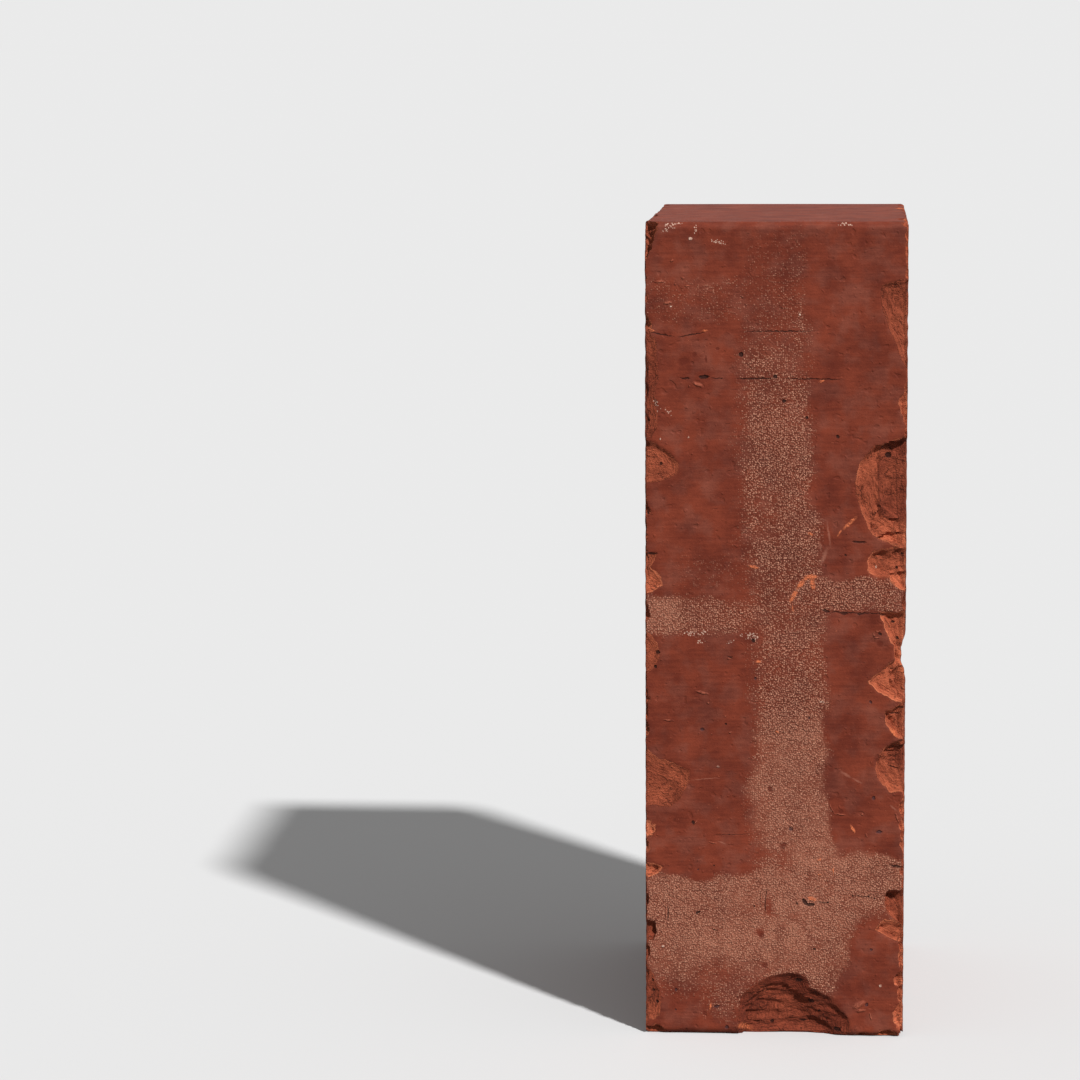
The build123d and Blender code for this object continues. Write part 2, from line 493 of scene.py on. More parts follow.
# %% Small shells on the edges of the front
# Place along the edge, length, reach on the front, reach on the side, and freshness
left_shells = [
    (head, 20.8, 3.3, 3.5, 0.5), (189.0, 6.0, 1.6, 1.0, 0.6), (177.0, 7.0, 1.4, 1.4, 0.6),
    (163.0, 5.5, 1.4, 1.2, 0.5), (140.0, 3.5, 1.2, 0.6, 0.5), (113.0, 4.5, 1.2, 1.2, 0.5),
    (90.0, 5.5, 1.1, 1.0, 0.5), (82.0, 5.0, 1.2, 1.0, 0.5), (55.7, 3.6, 2.2, 0.35, 1.0),
    (51.0, 4.0, 1.2, 0.9, 0.6), (36.0, 5.0, 0.9, 0.9, 0.4), (22.0, 5.0, 1.1, 0.9, 0.5),
]
right_shells = [
    (168.0, 8.0, 2.2, 1.4, 0.5), (116.6, 6.0, 1.8, 1.4, 0.3), (62.0, 5.0, 1.6, 1.2, 0.9),
    (57.0, 4.0, 1.3, 1.0, 0.8), (52.0, 5.0, 1.2, 1.0, 0.7), (45.0, 4.0, 1.2, 1.0, 0.5),
    (21.0, 7.0, 1.5, 1.4, 0.7), (15.5, 4.5, 2.4, 1.5, 0.7), (11.0, 5.0, 1.6, 1.3, 0.7),
    (6.0, 8.4, 2.6, 1.7, 0.8),
]
foot_shells = [
    (-31.4, 5.6, 2.4, 1.6, 0.4), (29.6, 6.6, 1.8, 1.6, 0.6), (23.5, 5.0, 1.0, 1.4, 0.4),
]


def ball_of(length, reach, side_reach):
    """The ball that leaves such a shell: its radius, and how far its middle lies outside
    the face at the side and outside the front."""
    half = length / 2
    off_side = (half**2 - reach**2) / (2 * reach)
    off_front = (half**2 - side_reach**2) / (2 * side_reach)
    return sqrt(half**2 + off_side**2 + off_front**2), off_side, off_front


balls = []
for side, shells in ((-1, left_shells), (1, right_shells)):
    for place, length, reach, side_reach, lightness in shells:
        radius, off_side, off_front = ball_of(length, reach, side_reach)
        balls.append((side * (bed + off_side), front - off_front, place, radius, lightness))
for place, length, reach, side_reach, lightness in foot_shells:
    radius, off_side, off_front = ball_of(length, reach, side_reach)
    balls.append((place, front - off_front, -off_side, radius, lightness))
print("Shells on the front:", len(balls))

# %% [markdown]
# The other edges were knocked too. Nothing shows how, so they get small nicks at random
# places. A random generator with a fixed seed gives the same nicks each time.

# %% Nicks on the other edges
chance = np.random.default_rng(12)
# Where each edge lies, the axis that it follows (2 is up, 1 is front to back), and its nicks
back_and_end_edges = [
    ((-bed, back), 2, 16), ((bed, back), 2, 16), ((-bed, 0), 1, 7), ((bed, 0), 1, 7),
    ((-bed, head), 1, 7), ((bed, head), 1, 7),
]
for (x, other), along, how_many in back_and_end_edges:
    for _ in range(how_many):
        length = chance.uniform(2.5, 9.0)
        reach = length * chance.uniform(0.15, 0.42)
        side_reach = length * chance.uniform(0.12, 0.35)
        radius, off_side, off_other = ball_of(length, reach, side_reach)
        lightness = chance.uniform(0.1, 0.8)
        outward = 1 if other > 1 else -1
        if along == 2:
            place = chance.uniform(3, head - 3)
            middle = (np.sign(x) * (bed + off_side), back + off_other, place)
        else:
            place = chance.uniform(front + 8, back - 3)
            middle = (np.sign(x) * (bed + off_side), place, other + outward * off_other)
        balls.append((*middle, radius, lightness))
print("Shells and nicks in all:", len(balls))

# %% [markdown]
# # How deep a place lies in the clay
# One rule decides where the surface is: a place is in the clay if it lies inside the block
# with its die-rounded corners, outside every ball, behind the floor of every hollow, below
# the worn edges and below the furrow that the wire dragged. The furrow's cross-section has
# two low places, as the notch in the brick's outline has. Each of these gives a distance,
# and the smallest one counts. A rule of this kind joins any number of shapes without a
# single boolean cut.

# %% How worn the sharp edges are
wear = 0.5 + 0.4 * lumps(points, 13.0, 31) + 0.6 * lumps(points, 1.4, 32)
# Only the tops of these lumps count, so they leave a chip here and there
wear += 3.0 * np.maximum(lumps(points, 7.0, 33) - 0.3, 0)
wear += 2.0 * np.maximum(lumps(points, 2.8, 36) - 0.3, 0)
# The lowest part of the right edge is the most ragged. The left edge, and all that lies
# well behind the front, are worn less
low_right = (points[:, 0] > 0) * (points[:, 1] < 0) * (1 - rise(points[:, 2], 22, 30))
wear += low_right * (0.5 + 1.5 * lumps(points, 1.7, 34))
wear *= np.where((points[:, 0] < 0) & (points[:, 1] < 0), 0.7, 1.0)
wear = np.clip(np.where(points[:, 1] > front + 8, 0.7 * wear, wear), 0.15, None)
print("Wear in mm, from", round(float(wear.min()), 2), "to", round(float(wear.max()), 2))

# %% The smooth faces and the beds
DIE_CORNER = 2.0
FURROW = {"start": 103.7, "fall": 17.0, "depth": 1.4, "end depth": 0.3}
# The furrow's depth as a share, at places across it in mm from its middle
FURROW_PROFILE = {
    -7.6: 0, -6.4: 0.14, -4.7: 0.36, -2.6: 0.98, -1.2: 0.72, 0.6: 0.95, 4.4: 0.06, 5.3: 0,
}
jagged = 0.3 * lumps(points, (9.0, 6.0, 1.8), 35)


def below_die(places):
    """Distance below the smooth faces, whose corners are rounded."""
    y = np.abs(places[:, 1]) - (back - DIE_CORNER)
    z = np.abs(places[:, 2] - head / 2) - (head / 2 - DIE_CORNER)
    outside = np.hypot(np.maximum(y, 0), np.maximum(z, 0))
    return DIE_CORNER - outside - np.minimum(np.maximum(y, z), 0)


def below_bed(places):
    """Distance below the nearer bed, with the furrow in the right one."""
    part = (places[:, 1] - front) / (back - front)
    middle = FURROW["start"] - FURROW["fall"] * part
    depth = FURROW["depth"] + (FURROW["end depth"] - FURROW["depth"]) * part
    across_it = list(FURROW_PROFILE), list(FURROW_PROFILE.values())
    furrow = depth * np.interp(places[:, 2] - middle, *across_it) * (1 + jagged)
    return bed - np.abs(places[:, 0]) - furrow * (places[:, 0] > 0)


print("The furrow cuts", round(float(-below_bed(points).min()), 2), "mm into the right bed")

# %% Which points can meet each ball and each hollow
# Points further off than the margin are left out, and their distance counts as far
MARGIN = 8.0
FAR = 9.0
near_ball = []
for x, y, z, radius, _ in balls:
    away = np.sqrt((points[:, 0] - x)**2 + (points[:, 1] - y)**2 + (points[:, 2] - z)**2)
    near_ball.append(np.flatnonzero(away < radius + MARGIN))
near_hollow = []
for _, outline, *_ in hollows:
    xs, zs = [p[0] for p in outline], [p[1] for p in outline]
    near_hollow.append(np.flatnonzero(
        (points[:, 0] > min(xs) - 2) & (points[:, 0] < max(xs) + 2)
        & (points[:, 2] > min(zs) - 2) & (points[:, 2] < max(zs) + 2)
        & (points[:, 1] < front + MARGIN)
    ))
print("Points near a hollow, with repeats:", sum(len(near) for near in near_hollow))


# %% Distance outside the balls
def outside_balls(places):
    """Distance outside the nearest ball, and the freshness of its break."""
    nearest = np.full(len(places), FAR)
    lightness_by_point = np.zeros(len(places))
    for (x, y, z, radius, lightness), near in zip(balls, near_ball):
        moved = places[near] + wobble[near] - (x, y, z)
        gap = np.sqrt((moved**2).sum(axis=1)) - radius
        closer = near[gap < nearest[near]]
        nearest[closer] = gap[gap < nearest[near]]
        lightness_by_point[closer] = lightness
    return nearest, lightness_by_point


print("Points inside a ball:", int((outside_balls(points)[0] < 0).sum()))

# %% Height above the hollows' floors
# A hollow's outline wanders by this share of the wobble
HOLLOW_WOBBLE = 0.8


def hollow_at(x, z, outline, level, start):
    """How deep this hollow is, and how far inside its outline each place lies."""
    roof = np.full(len(x), np.inf)
    away = np.full(len(x), np.inf)
    inside = np.zeros(len(x), bool)
    for (x1, z1, slope), (x2, z2, _) in zip(outline, outline[1:] + outline[:1]):
        along = ((x - x1) * (x2 - x1) + (z - z1) * (z2 - z1)) / hypot(x2 - x1, z2 - z1)**2
        along = np.clip(along, 0, 1)
        distance = np.hypot(x - x1 - along * (x2 - x1), z - z1 - along * (z2 - z1))
        roof = np.minimum(roof, slope * distance)
        if slope != OPEN:
            away = np.minimum(away, distance)
        if z1 != z2:
            inside ^= ((z1 > z) != (z2 > z)) & (x < x1 + (z - z1) / (z2 - z1) * (x2 - x1))
    depth = start + level * (1 - np.exp(-roof / level))
    outside = -FAR if start else -roof
    return np.where(inside, depth, outside), np.where(inside, away, -away)


def outside_hollows(places):
    """Height above the floors of the hollows, how far inside an outline, and that hollow's
    lightness, angle of grain and roughness."""
    deepest = np.full(len(places), -FAR)
    inside_by = np.full(len(places), -FAR)
    lightness_by_point = np.zeros(len(places))
    angle = np.zeros(len(places))
    roughness = np.ones(len(places))
    for (_, outline, level, lightness, grain, rough, start), near in zip(hollows, near_hollow):
        x = places[near, 0] + HOLLOW_WOBBLE * wobble[near, 0]
        z = places[near, 2] + HOLLOW_WOBBLE * wobble[near, 2]
        depth, inner = hollow_at(x, z, outline, level, start)
        better = depth > deepest[near]
        lightness_by_point[near[better]] = lightness
        angle[near[better]] = grain
        roughness[near[better]] = rough
        deepest[near] = np.maximum(deepest[near], depth)
        if not start:
            inside_by[near] = np.maximum(inside_by[near], inner)
    return places[:, 1] - front - deepest, inside_by, lightness_by_point, angle, roughness


print("Points above a hollow's floor:", int((outside_hollows(points)[0] < 0).sum()))

# %% The rule
# A hollow's height is measured straight out of the front. Its sides lean, so the clay is
# nearer than that, and the height is divided by this number
FLOOR_LEAN = 1.8


def in_clay(places):
    """How deep each place lies in the clay. Below zero, it is in the air."""
    die, cut = below_die(places), below_bed(places)
    worn_edge = (die + cut - wear) / sqrt(2)
    above_floor = outside_hollows(places)[0]
    worn_floor = (above_floor + cut - wear) / sqrt(2)
    return np.minimum.reduce(
        [die, cut, worn_edge, worn_floor, above_floor / FLOOR_LEAN, outside_balls(places)[0]]
    )


print("Points of the net that start in the air:", int((in_clay(points) < 0).sum()))

# %% [markdown]
# # Let the skin sink
# A Shrinkwrap modifier would draw the net onto another mesh, but here there is only a rule.
# A short loop does the same: each point moves straight inwards until the rule says that it
# has met the clay. In the middle of a face inwards is square to the face. Near an edge it
# turns towards the block's inside, so that the net's lines bend around the edge instead of
# crossing.

# %% Sink the points
# Within this many millimetres of an edge, the way inwards turns
EDGE_TURN = 14.0
# In each round a point moves by most of the distance that the rule still asks for
SINK_ROUNDS = 40
SINK_SHARE = 0.95
inner_low, inner_high = low + EDGE_TURN, high - EDGE_TURN
inward = np.clip(points, inner_low, inner_high) - points
inward /= np.linalg.norm(inward, axis=1)[:, None]
travel = np.zeros(len(points))
for _ in range(SINK_ROUNDS):
    gap = in_clay(points + travel[:, None] * inward)
    travel += np.maximum(-gap, 0) * SINK_SHARE
print("The deepest point sank by", round(float(travel.max()), 2), "mm")

# %% How far inside a break each point is
# On the front this is counted across the face, and on the other faces by depth
ball_gap, ball_fresh = outside_balls(points)
floor_height, hollow_inside, hollow_lightness, grain_angle, rough_here = outside_hollows(points)
hollow_inside = np.where(points[:, 1] < front + 0.1, hollow_inside, -floor_height)
broken = np.maximum(-ball_gap, hollow_inside)
lightness_here = np.where(-ball_gap > hollow_inside, ball_fresh, hollow_lightness)
print("Share of points in a break:", round(float((broken > 0).mean()), 2))

# %% [markdown]
# # Torn clay
# A break isn't smooth inside. Clay is full of thin layers that follow the way it was pushed,
# and it tears along them in long sharp ridges, and across them in small flat facets that
# each lean their own way. The ridges come from the random field folded at zero, which turns
# its slopes into sharp crests. The facets come from cells around scattered middles. Flakes
# also leave ripples that follow the outline of the break, as in a broken shell. The rest
# of the brick isn't quite flat either: the wire leaves low ridges along its slanted way
# over the beds, and every face dips here and there by up to a quarter of a millimetre.

# %% Ridges and facets
ARROW_SPREAD = 37


def facets(places, size, shift):
    """Small flat pieces that lean at random, as a height of about -1 to 1. The random arrow
    that a piece leans by is looked up at its middle, times a number that spreads them."""
    heights = []
    for place in (places / size + shift).tolist():
        _, middles = noise.voronoi(place)
        leaning = noise.cell_vector(middles[0] * ARROW_SPREAD) - Vector((0.5, 0.5, 0.5))
        heights.append(2 * leaning.dot(Vector(place) - middles[0]) + leaning.x)
    return np.array(heights)


sunk = points + travel[:, None] * inward
along_grain = sunk[:, 0] * np.cos(grain_angle) + sunk[:, 2] * np.sin(grain_angle)
over_grain = sunk[:, 2] * np.cos(grain_angle) - sunk[:, 0] * np.sin(grain_angle)
grain_places = np.stack([along_grain, sunk[:, 1], over_grain], axis=1)
inside_break = rise(broken, 0.0, 1.6)
ripple_places = np.stack([1.5 * broken, 0.2 * sunk[:, 0], 0.2 * sunk[:, 2]], axis=1)
crumbled_edge = rise(wear - (below_die(points) + below_bed(points)), 0.0, 1.0)
torn = (
    1.5 * np.abs(lumps(grain_places, (7.0, 5.0, 2.4), 41))
    + 0.8 * np.abs(lumps(grain_places, (3.0, 2.5, 1.3), 42))
    + 0.25 * (1 + facets(sunk, 2.8, 44))
    + 0.5 * np.abs(lumps(ripple_places, (1, 1, 1), 45))
    + 0.22 * (1 + lumps(sunk, 0.8, 43))
)
travel += torn * (inside_break * rough_here + crumbled_edge * (1 - inside_break) * 0.4)
print("Torn clay is up to", round(float(torn.max()), 2), "mm deeper")

# %% Slight unevenness of the faces
ENDLESS = 1e9
# This near to the furrow's middle, in mm, only this share of the wire's ridges is there
FURROW_REACH = 6
FURROW_SHARE = 0.6
drag = points[:, 2] + (points[:, 1] - front) * FURROW["fall"] / (back - front)
drag_places = np.stack([points[:, 0], points[:, 1], drag], axis=1)
on_bed = (np.abs(points[:, 0]) > bed - 0.01) & (points[:, 1] > front) & (points[:, 1] < back)
furrow_here = np.abs(drag - FURROW["start"]) < FURROW_REACH
cut_face = on_bed * np.where(furrow_here & (points[:, 0] > 0), FURROW_SHARE, 1.0)
travel += 0.12 * (1 + lumps(points, 38.0, 51)) * rise(-broken, 0, 4)
travel += cut_face * (
    0.22 * np.abs(lumps(drag_places, (ENDLESS, 45.0, 4.0), 52))
    + 0.16 * np.abs(lumps(drag_places, (ENDLESS, 14.0, 2.6), 53))
)
shaped = points + travel[:, None] * inward
half_way = on_bed & (points[:, 0] > 0) & (np.abs(points[:, 1]) < 3)
furrow_depth = float((bed - shaped[half_way, 0]).max())
print("Half-way back, the furrow is", round(furrow_depth, 2), "mm deep")
print("Shaped box:", shaped.min(0).round(2), shaped.max(0).round(2))

# %% [markdown]
# # Where the finish changes
# Some parts of the finish follow the shape or a wide pattern: how far inside a break a
# place is, how light its clay is and which way it tore, how worn an edge is, whether the
# wire cut the face, and the pale bands. A low lightness stands for an old, dirty break,
# and on the foot and in the top of the right bowl for painted shade. In the kiln bricks
# lie across each other, and where another brick lay the face stays covered with pale grit.
# All this could be painted by hand, but worked out here it fits the shape exactly. The
# values are stored on the mesh's points, and the material reads them by name.


# %% Where the pale bands are
def pale_bands(x, z):
    """How much pale grit lies at each place on the front face, from 0 to 1."""
    # The upright band: at these heights, its left border, its right border and its strength
    heights = [0, 8, 20, 34, 50, 63, 90, 111, 140, 156, 182, 215]
    left = np.interp(z, heights, [-3, -3, -2, -2, -4, -5.2, -4, -5.3, -8, -8, -8, -8])
    right = np.interp(z, heights, [8, 14, 20, 22, 17.6, 13.8, 14.0, 13.8, 10.5, 10.2, 9.3, 9])
    upright_band = rise(x, left - 5.0, left + 3.5) * (1 - rise(x, right - 2.6, right + 1.4))
    # The strength falls towards the head, partly as painted shade there.
    strength = [0, 0.4, 0.8, 0.9, 0.8, 0.9, 0.9, 0.75, 0.8, 0.9, 0.45, 0.1]
    upright_band *= np.interp(z, heights, strength)
    # The bar across the middle, whose two halves lie at slightly different heights
    left_bar = span(z, 107.8, 116.8, 1.6)
    left_bar *= np.interp(x, [-34, -28, -20, -8, 2, 8], [1.1, 1.0, 0.8, 0.7, 0.6, 0])
    right_bar = span(z, 114.2, 122.6, 1.2) * rise(x, 7, 13) * (1 - 0.3 * rise(x, 26, 34))
    # The low bar, whose borders slant, and which fades downwards on the left
    floor_of_bar = np.interp(x, [-34, -8, 12, 20, 34], [21.5, 20, 10, 30, 36])
    top_of_bar = np.interp(x, [-34, -12, 12, 34], [43.5, 42, 50, 47.5])
    low_bar = 0.5 * rise(z, floor_of_bar - 16, floor_of_bar - 4) * (1 - rise(x, 0, 8))
    low_bar += (1 - low_bar) * rise(z, floor_of_bar - 6, floor_of_bar + 8)
    low_bar *= 1 - rise(z, top_of_bar - 1.6, top_of_bar + 1.6)
    # Fainter traces
    # The bar near the head is kept faint, partly as painted shade.
    faint_bar = 0.28 * span(z, 189, 200, 2) * (1 - rise(x, -2, 6))
    below_bar = 0.42 * span(z, 4, 24, 6) * span(x, -21, -2, 4)
    above_bar = 0.2 * span(z, 118, 128, 3) * span(x, -26, -2, 5)
    weak = np.maximum.reduce([faint_bar, below_bar, above_bar])
    return np.maximum.reduce([upright_band, left_bar, right_bar, low_bar, weak])


def pale_film(x, z):
    """How much a thin pale film joins the grains, which is most in the low band."""
    low_film = rise(z, 10, 22) * (1 - rise(z, 46, 56)) * (1 - 0.4 * rise(x, 20, 30))
    left_film = 0.8 * span(z, 109, 117, 2) * (1 - rise(x, -27, -19))
    return 0.25 + 0.75 * np.maximum(low_film, left_film) + 0.7 * span(z, 50, 84, 6)


print("Grit at the middle of the front:", round(float(pale_bands(0, head / 2)), 2))

# %% The bands on the front and the back
# The bands' borders are ragged. The back has the same bands turned end for end, and moved
RAGGED_MM = 2.2
BACK_MOVED_X = 3
BACK_MOVED_Z = 6
ragged = points + RAGGED_MM * np.stack([lumps(points, 6.0, k) for k in (61, 62, 63)], axis=1)
on_front = points[:, 1] < front + 0.5
on_back = points[:, 1] > back - 0.7
band = pale_bands(ragged[:, 0], ragged[:, 2]) * on_front
back_z = head + BACK_MOVED_Z - ragged[:, 2]
band += pale_bands(-ragged[:, 0] - BACK_MOVED_X, back_z) * on_back
band *= 0.92 + 0.3 * lumps(points, 8.0, 64) + 0.2 * lumps(points, 2.6, 66)
print("Share of points with pale grit:", round(float((band > 0.3).mean()), 2))

# %% Places where the grit was rubbed off
# Each is given by its middle, half its width, half its height, and how much is gone
rubbed = [
    (-1.2, 34.6, 1.2, 3.4, 0.7), (-3.3, 26.9, 1.2, 1.2, 0.9), (1.8, 27.7, 1.2, 2.6, 0.5),
    (4.0, 31.7, 1.6, 1.0, 0.5), (-2.4, 18.9, 1.3, 1.3, 0.5), (2.3, 21.7, 2.4, 1.2, 0.3),
    (1.0, 19.5, 7.0, 1.0, 0.2), (-3.0, 48.6, 7.0, 1.8, 0.5), (2.2, 45.6, 2.2, 2.0, 0.4),
    (-12.0, 34.0, 9.0, 3.0, 0.25), (-2.0, 140.0, 3.0, 6.0, 0.3), (0.0, 99.0, 6.0, 2.5, 0.2),
    (-5.0, 122.0, 5.0, 3.0, 0.4),
]
for x, z, half_x, half_z, how_much in rubbed:
    spot = ((ragged[:, 0] - x) / half_x)**2 + ((ragged[:, 2] - z) / half_z)**2
    band *= 1 - how_much * np.exp(-spot**2 / 2)
film = band * pale_film(ragged[:, 0], ragged[:, 2]) * (1 + 0.4 * lumps(points, 11.0, 67))
lightness = lightness_here + 0.25 * lumps(points, 6.0, 65)
edge_break = (wear - (below_die(points) + below_bed(points))) / sqrt(2)
print("Share that keeps its grit:", round(float((band > 0.3).mean()), 2))

# %% [markdown]
# # The mesh
# The points become one closed mesh in metres, whose outline is true from every side. A
# picture laid on a plain box would look right only from the front. Faces are smooth-shaded,
# but where two faces meet at more than 38 degrees the edge is kept sharp, as on fired clay.

# %% Build the brick
SMOOTH_UP_TO = radians(38)
shape = bpy.data.meshes.new("fired_brick")
shape.from_pydata((shaped / MM).tolist(), [], faces)
shape.validate()
shape.shade_smooth()
shape.set_sharp_from_angle(angle=SMOOTH_UP_TO)
for name, values in {
    "broken": broken, "lightness": lightness, "band": band, "film": film,
    "cut": cut_face, "edge_break": edge_break,
}.items():
    layer = shape.attributes.new(name, "FLOAT", "POINT")
    layer.data.foreach_set("value", values.astype(np.float32))
layer = shape.attributes.new("grain_place", "FLOAT_VECTOR", "POINT")
layer.data.foreach_set("vector", grain_places.astype(np.float32).ravel())
brick = bpy.data.objects.new("fired_brick", shape)
bpy.context.scene.collection.objects.link(brick)
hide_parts("brick")
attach(brick, "root")
print("Mesh faces:", len(shape.polygons))

# %% [markdown]
# # The fired clay's finish
# A picture could be wrapped around the brick, but it would have seams and blur close up. A
# finish can also be a small calculation that Blender repeats at every place on the surface.
# It is built from nodes, and a few helpers with plain names keep it readable. All its
# lengths are in millimetres too, measured on the brick itself, so nothing slides when the
# brick or the camera moves.

# %% Helpers for the finish
clay = bpy.data.materials.new("fired clay")
clay.use_nodes = True
tree = clay.node_tree
tree.nodes.clear()


def step(kind, inputs, **settings):
    """Adds one node. Each input is given a number, a colour or another node's output."""
    made = tree.nodes.new(kind)
    for name, value in settings.items():
        setattr(made, name, value)
    for name, value in inputs.items():
        if isinstance(value, bpy.types.NodeSocket):
            tree.links.new(value, made.inputs[name])
        else:
            made.inputs[name].default_value = value
    return made.outputs


def calc(what, first, second=0.0):
    """One step of arithmetic, named as Blender names it."""
    return step("ShaderNodeMath", {0: first, 1: second}, operation=what)[0]


def total(*values):
    """The sum of any number of values."""
    result = values[0]
    for value in values[1:]:
        result = calc("ADD", result, value)
    return result


def times(first, second):
    """Two values multiplied."""
    return calc("MULTIPLY", first, second)


def ease(value, start, end, low_value=0.0, high_value=1.0):
    """Goes smoothly from one value to another as the input goes from start to end."""
    numbers = {"Value": value, "From Min": start, "From Max": end,
               "To Min": low_value, "To Max": high_value}
    return step("ShaderNodeMapRange", numbers, interpolation_type="SMOOTHSTEP")["Result"]


def colour(red, green, blue):
    """A colour written as it looks on a screen, from 0 to 255."""
    def linear(level):
        level /= 255
        return level / 12.92 if level <= 0.04045 else ((level + 0.055) / 1.055)**2.4
    return (linear(red), linear(green), linear(blue), 1)


def mix(amount, first, second):
    """The first colour, with this amount of the second laid over it."""
    return step("ShaderNodeMix", {0: amount, 6: first, 7: second}, data_type="RGBA")[2]


def mix_value(amount, first, second):
    """The same for two plain values."""
    return step("ShaderNodeMix", {0: amount, 2: first, 3: second}, data_type="FLOAT")[0]


def stored(name):
    """A value that the mesh's points carry."""
    return step("ShaderNodeAttribute", {}, attribute_name=name)["Fac"]


def apart(value, middle):
    """How far a value lies from this middle, above or below it."""
    return calc("ABSOLUTE", calc("SUBTRACT", value, middle))


def enlarge(place_or_arrow, by):
    """A place or an arrow, this many times as large."""
    return step("ShaderNodeVectorMath", {0: place_or_arrow, "Scale": by}, operation="SCALE")[0]


def move(place_or_arrow, by):
    """A place or an arrow, with this added to it."""
    return step("ShaderNodeVectorMath", {0: place_or_arrow, 1: by}, operation="ADD")[0]


print("The finish is named", clay.name)

# %% Places and random patterns
place = enlarge(step("ShaderNodeTexCoord", {})["Object"], MM)


def speckle(size, detail=2.0, stretch=(1, 1, 1), roughness=0.5, where=None):
    """A random pattern around 0.5 with spots of this size in mm. Detail is how many times
    finer spots are added to it, and roughness is how strong those are."""
    per_mm = tuple(1 / (size * s) for s in stretch)
    scaled = step("ShaderNodeVectorMath", {0: where or place, 1: per_mm}, operation="MULTIPLY")[0]
    numbers = {"Vector": scaled, "Scale": 1.0, "Detail": detail, "Roughness": roughness}
    return step("ShaderNodeTexNoise", numbers)[0]


print("Nodes so far:", len(tree.nodes))

# %% [markdown]
# # Single marks
# A used brick has marks that everyone would notice: pits, grey specks of iron, cracks,
# orange scuffs, bumps of clay, dark stains, and pale specks and crusts of mortar or lime.
# Pits and cracks are painted near-black, as painted shade in them. Bumps and two pale lines
# on a low ridge are painted lighter, as painted highlight, and one dark stain is the painted
# shade of a shallow dent.
# Each is an ellipse on the front face, given by its two ends and half its width, and a
# round one by its middle and half its width. A Gradient Texture of the Spherical kind falls
# from 1 in its middle to 0 at its rim, and its own mapping moves, turns and stretches it.
# Two nodes a mark are enough that way. The ellipse is a few millimetres deep from front to
# back, so a mark also shows in a shallow break, and pits and scuffs in a deep one too. The
# places are shaken a little by a random pattern first, so no mark has a smooth outline.


# %% How a mark is drawn
def marks(entries, place_here, depth=4.0):
    """How far inside the nearest of these marks a place is, from 0 outside to 1."""
    nearest = None
    for entry in entries:
        x1, z1, x2, z2, half = entry if len(entry) == 5 else (*entry[:2], *entry[:2], entry[2])
        mark = step("ShaderNodeTexGradient", {"Vector": place_here}, gradient_type="SPHERICAL")
        lie = mark["Fac"].node.texture_mapping
        lie.vector_type = "TEXTURE"
        lie.translation = ((x1 + x2) / 2, front, (z1 + z2) / 2)
        lie.rotation = (0, -atan2(z2 - z1, x2 - x1), 0)
        lie.scale = (hypot(x2 - x1, z2 - z1) / 2 + half, depth, half)
        inside = mark["Fac"]
        nearest = inside if nearest is None else calc("MAXIMUM", nearest, inside)
    return nearest


SHAKE_MM = 0.7
SHAKES_PER_MM = 1.4
shake = step("ShaderNodeTexNoise", {"Vector": place, "Scale": SHAKES_PER_MM, "Detail": 3.0})[1]
shaken = move(place, enlarge(move(shake, (-0.5, -0.5, -0.5)), SHAKE_MM))
print("A mark's outline wanders by up to", SHAKE_MM / 2, "mm")

# %% Pits and specks of iron
pits = [
    (-5.7, 105.8, 0.62), (-30.6, 102.6, 0.6), (-31.3, 98.8, 0.5), (30.5, 110.9, 0.5),
    (18.2, 128.5, 0.35), (16.0, 159.4, 0.45), (8.0, 164.3, 0.45), (2.1, 168.7, 0.5),
    (-9.0, 180.7, 0.7), (-19.6, 174.8, -17.6, 174.9, 0.55), (-0.2, 175.0, 0.6),
    (-21.4, 57.2, 0.5), (-15.9, 45.7, 0.3), (-20.6, 32.7, -19.8, 33.3, 0.32),
    (-31.9, 11.8, 0.45), (-30.9, 8.7, 0.45), (-32.1, 14.5, 0.4), (-29.8, 152.2, 0.5),
    (31.4, 125.2, 0.5), (32.8, 128.9, 0.45), (31.7, 106.7, 0.45), (20.6, 38.1, 0.3),
    (22.1, 38.0, 0.25), (24.7, 38.0, 0.3), (26.2, 37.3, 0.25), (6.0, 14.9, 7.0, 14.9, 0.6),
    (9.2, 9.2, 10.2, 9.0, 0.6), (11.9, 6.5, 0.4), (6.4, 3.3, 8.6, 3.5, 0.4), (-0.6, 3.0, 0.6),
    (16.1, 1.7, 17.1, 1.6, 0.6), (-33.1, 139.3, 0.4), (7.6, 36.7, 8.6, 35.5, 0.55),
    (8.7, 35.4, 10.3, 35.6, 0.5), (14.0, 36.2, 0.3), (6.0, 35.8, 0.3), (29.0, 154.5, 1.0),
    (-12.9, 83.6, 0.35), (27.3, 107.9, 0.5), (-5.3, 34.8, 0.3), (10.6, 23.6, 0.35),
]
irons = [
    (-19.0, 82.1, 0.6), (-5.2, 95.8, 0.55), (4.2, 55.7, 0.75), (25.9, 64.2, 0.62),
    (26.8, 55.2, 27.8, 55.3, 0.55), (24.9, 89.8, 0.5), (25.5, 23.6, 0.42), (-26.0, 12.0, 0.5),
    (-15.7, 7.5, -14.7, 7.6, 0.5), (-12.5, 2.0, 0.65), (-26.1, 6.5, 0.32), (24.4, 8.7, 0.6),
    (8.9, 85.4, 0.4), (-20.1, 44.6, 0.3),
]
print("Pits", len(pits), "specks of iron", len(irons))

